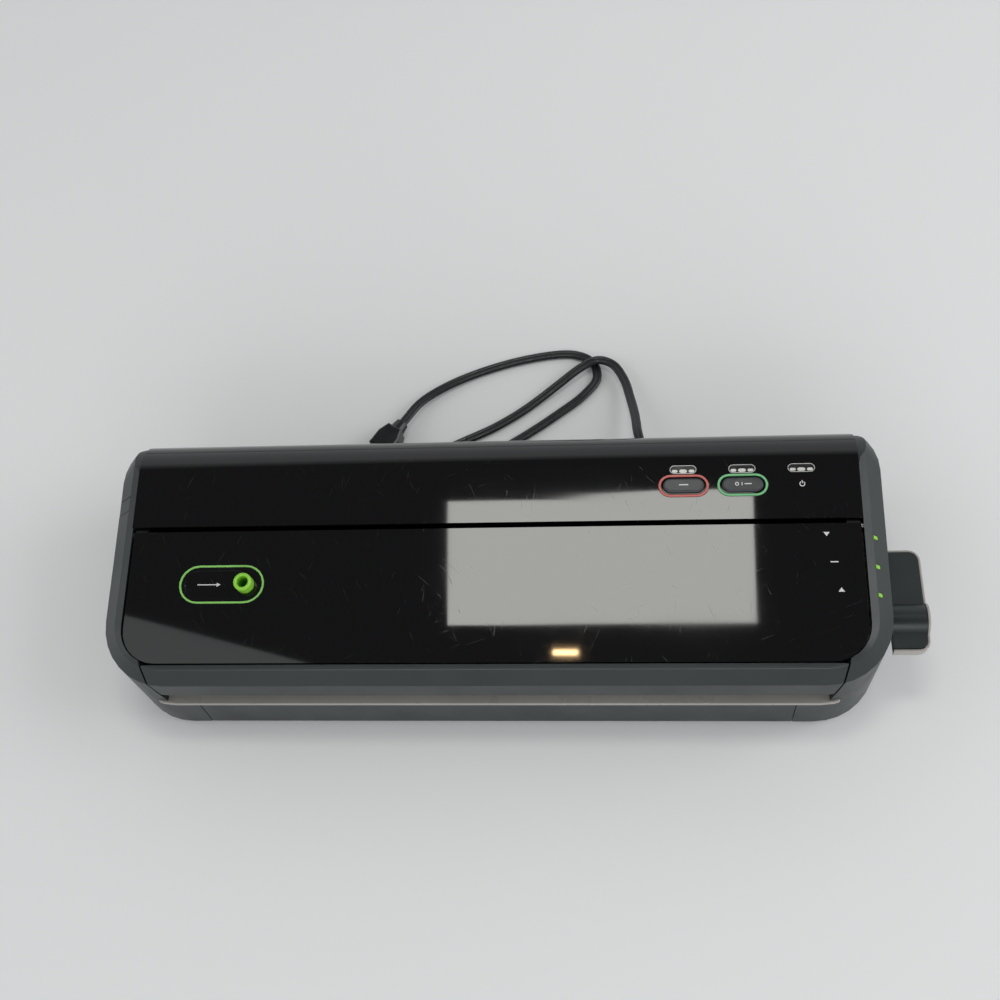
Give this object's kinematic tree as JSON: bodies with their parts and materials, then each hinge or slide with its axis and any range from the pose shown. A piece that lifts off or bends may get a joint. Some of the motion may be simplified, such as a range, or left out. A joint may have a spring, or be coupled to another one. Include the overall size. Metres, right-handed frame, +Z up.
{
  "type": "vacuum sealer",
  "caption": "Low countertop vacuum sealer with a hinged lid, side latch lever, push buttons, hose port and mains lead.",
  "frame": {"origin": "middle of the machine's footprint without its lead, at the bottom of its feet", "axes": "+X to the right, +Y to the back, +Z up"},
  "size_m": [0.433, 0.2415, 0.0797],
  "materials": {
    "gloss_black": "high gloss with fine scratches",
    "slate": "satin moulded grain",
    "button_grey": "satin",
    "black_plastic": "fine grain",
    "silver_trim": "satin silver",
    "lever_silver": "satin silver",
    "lime": "satin",
    "port_green": "satin",
    "coral": "satin",
    "mint": "satin",
    "lamp_lens": "clear, frosted below",
    "foam": "open-cell foam",
    "black_rubber": "matte",
    "sealing_tape": "woven, coated",
    "steel": "brushed",
    "brass": "polished",
    "circuit_board": "solder mask",
    "transformer_winding": "varnished",
    "grey_hose": "smooth",
    "bush_plastic": "smooth",
    "cord_black": "smooth vinyl"
  },
  "bodies": {
    "base": {"base_housing": "black_plastic", "case_screw_1": "steel", "case_screw_2": "steel", "case_screw_3": "steel", "case_screw_4": "steel", "rear_left_foot": "black_rubber", "front_left_foot": "black_rubber", "rear_right_foot": "black_rubber", "front_right_foot": "black_rubber", "left_end_cap": "slate", "left_cap_insert": "slate", "right_end_cap": "slate", "operate_mark": "lime", "store_mark": "lime", "open_mark": "lime", "lower_front_panel": "slate", "sealing_deck": "black_plastic", "vacuum_trough": "black_plastic", "front_lip": "silver_trim", "lower_gasket": "foam", "sealing_bar": "steel", "sealing_tape": "sealing_tape", "rear_panel": "gloss_black", "seal_lamp_lens": "lamp_lens", "vacuum_lamp_lens": "lamp_lens", "power_lamp_lens": "lamp_lens", "seal_button_ring": "coral", "vacuum_button_ring": "mint", "control_board": "circuit_board", "pump_head": "black_plastic", "pump_motor": "steel", "motor_cradle": "black_rubber", "vacuum_hose": "grey_hose", "transformer": "transformer_winding", "left_hinge_pin": "steel", "right_hinge_pin": "steel", "latch_bush": "bush_plastic", "mains_cord": "cord_black", "strain_relief": "black_rubber", "cord_tie": "black_rubber", "plug_body": "cord_black", "plug_blade_1": "brass", "plug_blade_2": "brass"},
    "lid": {"lid_panel": "gloss_black", "lid_frame": "black_plastic", "port_ring": "port_green", "port_plate": "gloss_black", "port_tube": "lime", "lid_inner_tray": "black_plastic", "lid_front_bar": "slate", "lid_catch": "steel", "upper_gasket": "foam", "pressure_strip": "black_rubber"},
    "latch": {"latch_lever": "slate", "lever_rim": "lever_silver", "latch_shaft": "steel", "latch_cam": "steel"},
    "seal_key": {"seal_button": "button_grey"},
    "vacuum_key": {"vacuum_button": "button_grey"},
    "pump_drive": {"pump_eccentric": "brass"}
  },
  "joints": [
    {"name": "lid_hinge", "type": "hinge", "parent": "base", "child": "lid", "pos_m": [-0.00985, 0.01235, 0.07], "axis": [-1, 0, 0], "range_deg": [0, 65]},
    {"name": "latch_turn", "type": "hinge", "parent": "base", "child": "latch", "pos_m": [0.19685, -0.03065, 0.045], "axis": [1, 0, 0], "range_deg": [0, 85]},
    {"name": "seal_press", "type": "slide", "parent": "base", "child": "seal_key", "axis": [0, 0.1198, -0.9928], "range_m": [0, 0.0012], "stiffness_N_per_m": 300, "springref_m": -0.001},
    {"name": "vacuum_press", "type": "slide", "parent": "base", "child": "vacuum_key", "axis": [0, 0.1198, -0.9928], "range_m": [0, 0.0012], "stiffness_N_per_m": 300, "springref_m": -0.001},
    {"name": "pump_spin", "type": "hinge", "parent": "base", "child": "pump_drive", "pos_m": [-0.09985, 0.04115, 0.027], "axis": [1, 0, 0], "continuous": true}
  ]
}
